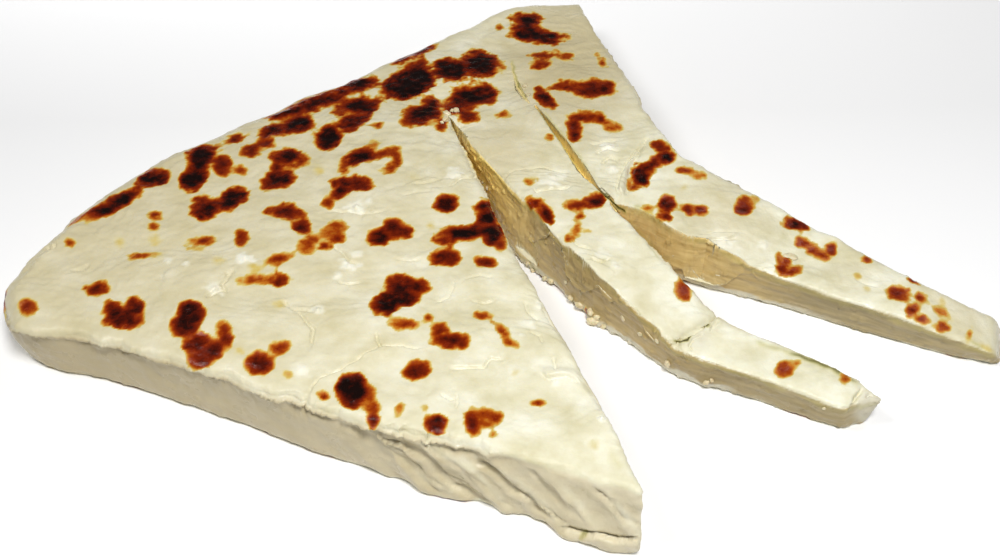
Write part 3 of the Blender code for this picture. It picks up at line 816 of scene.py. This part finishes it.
def relief(points, seen, masks, brown):
    """How far each point moves out along its normal."""
    top, cut, strips, below, front = (masks[name] for name in
                                      ("top", "cut", "strips", "below", "front"))
    wobble = wobble_of(points, 3 * MM, (2.2, 6.6), 3.0)
    # skin of the top
    flakes = FLAKE_COUNT * bumps(points * FLAKE_STRETCH, FLAKE_SIZE, 24.0) + 0.12 * wobble[:, 0]
    wrinkles = ridges(points * FLAKE_STRETCH, WRINKLE_SIZE, 11.0)
    wrinkles *= smooth_step(bumps(points, WRINKLED_SIZE, 5.0) * 2 + 0.5)
    skin = waves(points, TOP_WAVES) + WRINKLES * wrinkles + FLAKE_STEP * steps_of(flakes)
    out = top * (1 - BROWN_CALM * brown) * skin
    out -= top * CREASE_GAIN * grooves(seen, CREASES_PX, wobble)
    out += top * MM * flaps(seen, FLAPS_PX, wobble)
    for u, v, size, height in CURDS_PX:
        away = np.hypot(seen[:, 0] - u, (seen[:, 1] - v) * 1.3) / (size / 2)
        rough = CURD_FILL + bumps(points, CURD_GRAIN, 8.0)
        out += top * height * MM * smooth_step(1.0 - away) * rough
    blisters = BLISTERS * bumps(points, BLISTER_SIZE, 21.0) - SPOT_SINK
    out += brown * top * blisters
    # flesh of the sides
    streaks = STREAKS * (0.3 + 0.4 * strips) * bumps(points / STREAK_SIZE, 1.0, 14.0)
    streaks += FINE_STREAKS * strips * bumps(points / FINE_STREAK_SIZE, 1.0, 41.0)
    out += cut * masks["whole"] * (waves(points, SIDE_WAVES) + streaks)
    beads = rise(bumps(points, BEAD_SIZE, 51.0), 0.35, 0.2)
    out += cut * strips * BEADS * beads
    out -= front * MM * grooves(seen, FRONT_FOLDS_PX, wobble)
    out += front * MM * flaps(seen, FRONT_FLAPS_PX, wobble)
    out += SCALLOPS * masks["rim_side"] * waves(points, SCALLOP_WAVES)
    foot = fall(points[:, 2], RAGGED_HEIGHT) * cut
    torn = np.maximum(waves(points, RAGGED_WAVES), 0)
    out += RAGGED_FOOT * foot * torn * (0.2 + 0.8 * patches(seen, RAGGED_PX) * strips)
    # edge between them
    corner = rise(below, -0.2 * MM, 0.5 * MM) * smooth_step(1.8 - below / (0.8 * MM))
    corner *= (0.9 + waves(points, EDGE_WAVES)) * masks["whole"] * masks["side"]
    hard = 1 - rise(seen[:, 0], *SOFT_EDGE_PX) * (1 - strips)
    out += EDGE_FILL * (1 - 0.8 * strips) * (1 - masks["skin_edge"]) * hard * corner
    under = fall(np.abs(below - LIP_DROP), 1.0 * MM) * cut
    out -= LIP * (1 - strips) * hard * under * smooth_step(0.7 + 2 * bumps(points, 7 * MM, 19.0))
    return out


# ---- materials ----
def linear(red, green, blue):
    """A colour given as it looks on screen, 0 to 255."""
    def one(value):
        value /= 255
        return value / 12.92 if value <= 0.04045 else ((value + 0.055) / 1.055) ** 2.4
    return (one(red), one(green), one(blue), 1.0)


class Nodes:
    """Short ways to add and join shader nodes."""

    def __init__(self, name):
        self.material = bpy.data.materials.new(name)
        self.material.use_nodes = True
        self.tree = self.material.node_tree
        self.shader = self.tree.nodes["Principled BSDF"]

    def add(self, kind, inputs=None, **settings):
        node = self.tree.nodes.new(kind)
        for name, value in settings.items():
            setattr(node, name, value)
        for name, value in (inputs or {}).items():
            self.put(node.inputs[name], value)
        return node

    def put(self, socket, value):
        if isinstance(value, bpy.types.NodeSocket):
            self.tree.links.new(value, socket)
        else:
            socket.default_value = value

    def shade(self, inputs):
        for name, value in inputs.items():
            self.put(self.shader.inputs[name], value)

    def attribute(self, name):
        return self.add("ShaderNodeAttribute", attribute_name=name).outputs["Fac"]

    def noise(self, scales, detail=3.0, roughness=0.55):
        """Noise with one scale, or with one for each axis."""
        place = self.add("ShaderNodeTexCoord").outputs["Object"]
        scale = scales
        if isinstance(scales, tuple):
            place = self.add("ShaderNodeMapping", {"Vector": place, "Scale": scales}).outputs[0]
            scale = 1.0
        return self.add("ShaderNodeTexNoise", {"Vector": place, "Scale": scale, "Detail": detail,
                                               "Roughness": roughness}).outputs["Fac"]

    def math(self, operation, first, second=0.0, third=0.0):
        return self.add("ShaderNodeMath", {0: first, 1: second, 2: third},
                        operation=operation).outputs[0]

    def spread(self, value, low, high, to_low=0.0, to_high=1.0):
        return self.add("ShaderNodeMapRange", {"Value": value, "From Min": low, "From Max": high,
                                               "To Min": to_low, "To Max": to_high},
                        interpolation_type="SMOOTHSTEP").outputs["Result"]

    def ramp(self, value, stops):
        """A colour ramp; the stops' colours are given as they look on screen."""
        node = self.add("ShaderNodeValToRGB", {"Fac": value})
        elements = node.color_ramp.elements
        while len(elements) < len(stops):
            elements.new(1.0)
        for element, (place, colour) in zip(elements, stops):
            element.position = place
            element.color = linear(*colour)
        return node.outputs["Color"]

    def mix(self, share, first, second):
        """Two colours mixed; the second may be a plain one, given as it looks on screen."""
        node = self.add("ShaderNodeMix", data_type="RGBA")
        self.put(node.inputs["Factor"], share)
        self.put(node.inputs["A"], first)
        self.put(node.inputs["B"], linear(*second) if isinstance(second, tuple) else second)
        return node.outputs["Result"]


# Colours as they look on screen: of regions, where the darker ones are partly or wholly painted
# shade and the gold one is partly painted light, and of the browning from pale to dark
REGION_COLOURS = [("dull_and_shade", (198, 184, 144)), ("front_painted_shade", (174, 157, 119)),
                  ("seam_shade", (120, 99, 58)), ("foot", (208, 202, 180)), ("gold_and_light", (244, 214, 124))]
ROAST = [(0.0, (218, 206, 146)), (0.1, (206, 182, 98)), (0.24, (192, 118, 32)),
         (0.38, (156, 64, 4)), (0.54, (124, 34, 2)), (0.74, (86, 18, 2)), (0.88, (48, 9, 3)),
         (1.0, (20, 6, 4))]


def cheese_material():
    nodes = Nodes("fried_cheese")
    brown = nodes.attribute("browning")
    grain = nodes.math("SUBTRACT", nodes.noise(900, 4.0, 0.6), 0.5)
    amount = nodes.math("MULTIPLY_ADD", grain, nodes.spread(brown, 0.0, 0.4, 0.0, 0.35), brown)
    mottle = nodes.math("SUBTRACT", nodes.noise(380, 4.0), 0.5)
    amount = nodes.math("MULTIPLY_ADD", mottle, nodes.math("MULTIPLY", brown, 1.2), amount)
    tones = nodes.noise(150, 4.0)
    cream = nodes.ramp(tones, [(0.3, (212, 206, 170)), (0.5, (228, 224, 196)),
                               (0.7, (243, 242, 223))])
    flesh = nodes.ramp(nodes.noise(260, 4.0), [(0.3, (206, 195, 162)), (0.7, (228, 219, 190))])
    fibres = nodes.noise((130, 130, 1100), 3.0)
    # the strips' sides are a darker copy of the flesh with fibres, darker as painted shade for the
    # gaps between the strips
    torn = nodes.ramp(fibres, [(0.3, (154, 138, 98)), (0.7, (186, 169, 127))])
    # ochre flesh, partly painted bounce light near the roots
    ochre_and_bounce = nodes.ramp(fibres, [(0.3, (216, 180, 102)), (0.7, (248, 218, 148))])
    flesh = nodes.mix(nodes.attribute("shaded_strip_side"), flesh, torn)
    flesh = nodes.mix(nodes.attribute("ochre_and_bounce"), flesh, ochre_and_bounce)
    base = nodes.mix(nodes.attribute("cut"), cream, flesh)
    for region, colour in REGION_COLOURS:
        base = nodes.mix(nodes.attribute(region), base, colour)
    olive_and_shade = nodes.attribute("olive_and_shade")
    # the darkest stops stand in for shade in cracks and creases
    whey = nodes.ramp(olive_and_shade, [(0.3, (186, 178, 88)), (0.8, (124, 118, 36)), (1.0, (60, 52, 14))])
    base = nodes.mix(olive_and_shade, base, whey)
    # pale curds, whiter curd and painted highlight in one
    base = nodes.mix(nodes.attribute("pale"), base, (252, 252, 240))
    roast = nodes.ramp(amount, ROAST)
    polish = nodes.spread(tones, 0.3, 0.7, 0.36, 0.24)
    bump = nodes.add("ShaderNodeBump", {"Height": nodes.noise(1100, 5.0, 0.6), "Strength": 0.4,
                                        "Distance": 0.3 * MM})
    nodes.shade({"Base Color": nodes.mix(nodes.spread(amount, 0.0, 0.12), base, roast),
                 "Roughness": nodes.math("MULTIPLY_ADD", amount, -0.08, polish),
                 "Specular IOR Level": 0.28, "Subsurface Weight": 0.12,
                 "Subsurface Radius": (1.0, 0.75, 0.45), "Subsurface Scale": 1.0 * MM,
                 "Normal": bump.outputs["Normal"]})
    return nodes.material


# ---- cheese ----
FIRST_CUT_LINE = ((-10.8 * MM, 24.1 * MM), (17.5 * MM, -62.2 * MM))
RIM_DIRECTION = (-0.66, 0.75)
RIM_END = 20 * MM  # the baked rim ends at this X
SHADED_END = (-90 * MM, 20 * MM)  # the top and front are darkest here, partly as painted shade
SHADE_REACH, FRONT_SHADE_REACH = 170 * MM, 200 * MM
# how dark the painted shade towards the far left end grows
SHADE_STRENGTH = 0.75

# Ochre flesh near the roots of the cuts, made brighter there as painted bounce light where the
# cuts lie in shade, and a duller, darker top that is partly painted shade: middle, reach in pixels
# and strength
OCHRE_AND_BOUNCE_PX = [(490, 185, 170, 1.0), (655, 225, 200, 0.9)]
DULL_AND_SHADE_PX = [(565, 60, 150, 0.95), (500, 145, 100, 0.65), (720, 215, 100, 0.45),
           (850, 265, 70, 0.25), (960, 310, 80, 0.45)]
# golden flesh of the cut sides, brightened as painted light at the start of the first cut, which
# lies in shade
GOLD_AND_LIGHT_PX = [(476, 162, 90, 1.0)]
SHADE_PX = [(600, 300, 120, 1.0), (700, 372, 90, 1.0)]  # painted shade on the strips' sides
GREY_PX = [(872, 410, 26, 1.6), (700, 340, 18, 0.5)]  # where the flesh is torn and pale grey
SEAM_SHADE_PX = [(600, 285, 110, 1.0), (675, 350, 60, 0.8)]
FOOT_HEIGHT = 2.0 * MM  # pale band along the feet of the strips
SEAM_SHADE_DEPTH = 3.4 * MM  # dark streak this far below the first strip's top edge, partly olive-brown flesh and partly painted shadow under the edge
EDGE_TINT_DEPTH = 0.9 * MM

# Green whey stains along edges, darkest in cracks and creases, where the dark tones are painted
# shade: line, strength and half width in pixels
OLIVE_AND_SHADE_PX = [
    ([533, 104, 541, 116, 550, 128.5, 560, 142, 569, 155, 578, 167, 589, 179], 0.5, 2.5),
    ([537, 107, 545, 114, 555, 126.5, 567, 139.5, 576, 153, 587, 167, 595, 179], 0.4, 2.5),
    ([597, 188, 606, 196.5, 613, 202, 619, 207, 628, 216], 1.3, 2),
    ([511, 58, 514, 70, 517, 81, 519, 86, 524, 96, 529, 102], 0.6, 2.5),
    ([518, 82, 518, 87], 0.8, 3.5),
    ([752, 341, 768, 346, 784, 351, 800, 356], 0.5, 4),
    ([780, 350, 800, 355.5, 812, 360, 830, 369, 845, 376, 864, 388], 0.9, 5),
    ([671, 339, 680, 342.5, 688, 341, 696, 336], 1, 1.8),
    ([703, 327, 706, 329, 710, 328], 1, 1.8),
    ([968, 339, 980, 346, 993, 352], 0.5, 3),
    ([625, 216, 640, 232, 652, 246, 663, 262], 0.3, 2.5),
    ([581, 532, 588, 535], 0.7, 4),
    ([591, 440, 596, 450], 0.35, 4),
    ([610, 452, 622, 470], 0.2, 6),
    ([632, 206, 644, 209, 655, 214], 0.45, 4),
]


def patches(seen, places):
    """Soft round patches of the picture, from 0 to 1: middle, reach in pixels and strength."""
    strength = np.zeros(len(seen))
    for u, v, reach, most in places:
        away = np.linalg.norm(seen - (u, v), axis=1)
        strength = np.maximum(strength, most * fall(away, reach))
    return strength


def make_masks(points, normals, seen, slits, skin_edge):
    """Where the top, the cut sides and other regions are, each from 0 to 1."""
    facing_up = normals[:, 2]
    to_camera = np.array(CAMERA_PLACE) - points
    facing_camera = (normals * to_camera).sum(axis=1) / np.linalg.norm(to_camera, axis=1)
    top = rise(facing_up, 0.3, 0.4) * (1 - np.minimum(slits, 1.0))
    top = np.maximum(top, skin_edge)
    under = rise(-facing_up, 0.4, 0.3)
    facing_rim = normals[:, :2] @ RIM_DIRECTION
    rim_side = (1 - top) * (1 - under) * rise(facing_rim, 0.3, 0.2) * (points[:, 0] < RIM_END)
    start, end = np.array(FIRST_CUT_LINE)
    step = (end - start) / np.linalg.norm(end - start)
    offset = points[:, :2] - start
    right_of_cut = offset[:, 1] * step[0] - offset[:, 0] * step[1]
    strips = smooth_step(right_of_cut / (1.0 * MM) + 0.5)
    cut = (1 - top) * (1 - under) * (1 - rim_side)
    front = cut * rise(normals[:, :2] @ FRONT_DIRECTION, 0.4, 0.3) * (1 - strips)
    # ochre flesh near the roots, partly painted bounce light and brightening where the roots lie
    # in shade
    ochre_and_bounce = patches(seen, OCHRE_AND_BOUNCE_PX) * strips * cut
    # golden flesh in the narrow cuts, and painted light where the first cut's start is shaded
    gold_and_light = np.maximum(0.8 * np.minimum(slits, 1.0), patches(seen, GOLD_AND_LIGHT_PX) * cut)
    from_end = np.linalg.norm(points[:, :2] - SHADED_END, axis=1)
    # the top darkens towards the far left end as painted shade for the dimmer light there, and in
    # patches partly as duller skin
    dull_and_shade = np.maximum(SHADE_STRENGTH * fall(from_end, SHADE_REACH), patches(seen, DULL_AND_SHADE_PX) * top)
    # painted shade: the front face darkens towards the far left end
    front_painted_shade = SHADE_STRENGTH * front * fall(from_end, FRONT_SHADE_REACH)
    wobble = wobble_of(points, 2 * MM, (1.2, 5.6), 2.0)
    # green whey stains, painted darkest as shade in cracks and creases
    olive_and_shade = grooves(seen, OLIVE_AND_SHADE_PX, wobble) * rise(facing_camera, 0, 0.15)
    # pale curd patches, partly whiter curd and partly painted highlight
    pale = np.zeros(len(points))
    shreds = bumps(points * FLAKE_STRETCH, 2.4 * MM, 12.0) + 0.7 * bumps(points, 1.1 * MM, 16.0)
    for u, v, size, height in CURDS_PX:
        away = np.hypot(seen[:, 0] - u + wobble[:, 0], (seen[:, 1] - v + wobble[:, 1]) * 1.5)
        inside = smooth_step(1.5 - 2 * away / size + 1.1 * shreds)
        pale = np.maximum(pale, 0.6 * height / CURD_HEIGHT * inside)
    below = depth_below_top(points, top)
    face = strips * cut
    uneven = bumps(points, 4 * MM, 44.0)
    foot = rise(FOOT_HEIGHT * (1 + 0.6 * uneven), points[:, 2], 0.5 * MM)
    grey = np.minimum(patches(seen, GREY_PX), 0.85)
    foot *= face * np.minimum(2 * patches(seen, RAGGED_PX), 1.0)
    # painted shade: a dark streak under the first strip's top edge, and darker patches on the
    # strips' sides
    seam_shade = fall(np.abs(below - SEAM_SHADE_DEPTH * (1 + 0.25 * uneven)), 1.1 * MM)
    seam_shade *= 0.6 * patches(seen, SEAM_SHADE_PX)
    seam_shade = face * np.maximum(seam_shade, 0.3 * patches(seen, SHADE_PX))
    # a dark tint just below the strips' top edge, partly olive colour and partly painted shade
    edge_tint = fall(np.abs(below - EDGE_TINT_DEPTH), 1.0 * MM)
    olive_and_shade = np.maximum(olive_and_shade, 0.3 * face * edge_tint * smooth_step(1.2 + 2 * uneven))
    side = (1 - under) * (1 - rise(facing_rim, 0.15, 0.2))
    return dict(top=top, cut=cut, side=side, below=below, front=front, strips=strips,
                rim_side=rim_side, facing_camera=facing_camera, ochre_and_bounce=ochre_and_bounce, dull_and_shade=dull_and_shade,
                front_painted_shade=front_painted_shade, olive_and_shade=np.minimum(olive_and_shade, 1.0), pale=pale, shaded_strip_side=face,
                foot=np.maximum(foot, grey), seam_shade=seam_shade, gold_and_light=gold_and_light, skin_edge=skin_edge,
                whole=1 - np.minimum(slits, 1.0))


def make_cheese():
    item, slits, skin_edge = make_skin()
    mesh = item.data
    points, normals = points_and_normals(mesh)
    seen = photo_pixels(points)
    masks = make_masks(points, normals, seen, slits, skin_edge)
    brown = browning(points, normals, seen, masks)
    out = relief(points, seen, masks, brown)
    points = points + normals * out[:, None]
    points[:, 2] = np.maximum(points[:, 2], 0.0)
    masks["browning"] = brown
    for name in ("browning", "cut", "shaded_strip_side", "ochre_and_bounce", "dull_and_shade", "front_painted_shade", "seam_shade", "foot",
                 "gold_and_light", "olive_and_shade", "pale"):
        mesh.attributes.new(name, "FLOAT", "POINT").data.foreach_set("value", masks[name])
    move_points(mesh, points)
    mesh.materials.append(cheese_material())
    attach(item, "root")
    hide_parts("bread_cheese")
    return item


# ---- crumbs ----
# Crumbs stuck to the cheese: pixel of the photograph, length and height in millimetres
CRUMBS_PX = [
    (447, 114.5, 1.9, 1.2), (452, 111.5, 1.1, 0.9), (456.5, 111, 1.8, 1.1), (446, 120, 1.7, 1.1),
    (442, 123, 0.9, 0.7), (488, 188, 1.1, 0.7), (483, 182, 0.7, 0.5), (525, 86, 1.5, 0.6),
    (528, 95, 1.3, 0.5), (792, 257, 2.2, 0.4), (787, 256, 1.6, 0.4), (528, 263, 1, 0.7),
    (533, 270, 1.1, 0.7), (545, 278, 1.2, 0.8), (551, 281, 1.5, 0.9), (571, 298, 1.4, 0.9),
    (580, 305, 1.8, 1), (591, 312, 1.6, 1), (597, 317, 1.4, 0.9), (593, 321, 2.2, 1.2),
    (604, 326, 1.4, 0.8), (668, 363, 1.6, 1), (706, 382, 1.4, 0.8), (712, 380, 0.9, 0.6),
    (566, 282, 1.2, 0.4), (581, 293, 0.9, 0.3), (623, 318, 1.3, 0.4), (640, 334, 1.3, 0.4),
    (657, 341, 1.1, 0.4), (824, 408, 0.8, 0.5),
]
CRUMB_FACES = 3  # how often a crumb's twenty faces are split
CRUMB_SINK = 0.3  # share of its height that is pressed into the cheese


def make_crumbs(cheese):
    work = bmesh.new()
    for u, v, length, height in CRUMBS_PX:
        found, place, normal = hit_at(cheese, u, v)
        if not found:
            continue
        made = bmesh.ops.create_icosphere(work, subdivisions=CRUMB_FACES, radius=0.5)
        turn = Vector((0, 0, 1)).rotation_difference(normal).to_matrix()
        turn = turn @ Matrix.Rotation(u + v, 3, "Z")
        for vert in made["verts"]:
            shape = vert.co * (1 + 0.35 * noise.noise(vert.co * 3.2 + Vector((u, v, 0))))
            shape = Vector((shape.x * length, 0.75 * shape.y * length,
                            (shape.z + 0.5 - CRUMB_SINK) * height)) * MM
            vert.co = place + turn @ shape
    mesh = bpy.data.meshes.new("crumbs")
    work.to_mesh(mesh)
    work.free()
    mesh.shade_smooth()
    item = add_object("crumbs", mesh)
    nodes = Nodes("wet_crumb")
    tones = nodes.ramp(nodes.noise(900), [(0.3, (200, 184, 140)), (0.7, (232, 220, 186))])
    nodes.shade({"Base Color": tones, "Roughness": 0.3, "Subsurface Weight": 0.1,
                 "Subsurface Scale": 0.5 * MM})
    mesh.materials.append(nodes.material)
    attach(item, "root")


# ---- floor and light ----
def make_floor():
    mesh = bpy.data.meshes.new("floor")
    half = 2.0
    mesh.from_pydata([(-half, -half, 0), (half, -half, 0), (half, half, 0), (-half, half, 0)], [],
                     [(0, 1, 2, 3)])
    floor = add_object("floor", mesh)
    nodes = Nodes("pale_floor")
    nodes.shade({"Base Color": (0.97, 0.97, 0.97, 1), "Roughness": 0.8})
    mesh.materials.append(nodes.material)


def add_light(name, place, target, size, power, colour=(1, 1, 1)):
    data = bpy.data.lights.new(name, "AREA")
    data.shape = "DISK"
    data.size = size
    data.energy = power
    data.color = colour
    light = add_object(name, data)
    light.location = place
    light.rotation_euler = (Vector(place) - Vector(target)).to_track_quat("Z", "Y").to_euler()


def make_light():
    middle = (0.02, -0.02, 0.0)
    add_light("key", (0.05, -0.19, 0.36), middle, 0.11, 1.3)
    add_light("left", (-0.25, -0.05, 0.40), middle, 0.16, 0.66)
    add_light("right", (0.25, 0.15, 0.40), middle, 0.16, 0.24)
    add_light("backdrop", (-0.10, 0.15, 0.35), (-0.10, 1.15, 0.05), 0.30, 2.0)
    world = bpy.data.worlds.new("studio")
    world.use_nodes = True
    backdrop = world.node_tree.nodes["Background"].inputs
    backdrop["Color"].default_value = (1, 1, 1, 1)
    backdrop["Strength"].default_value = 0.07
    bpy.context.scene.world = world
    bpy.context.scene.view_settings.view_transform = "Standard"


make_crumbs(make_cheese())
make_floor()
make_light()
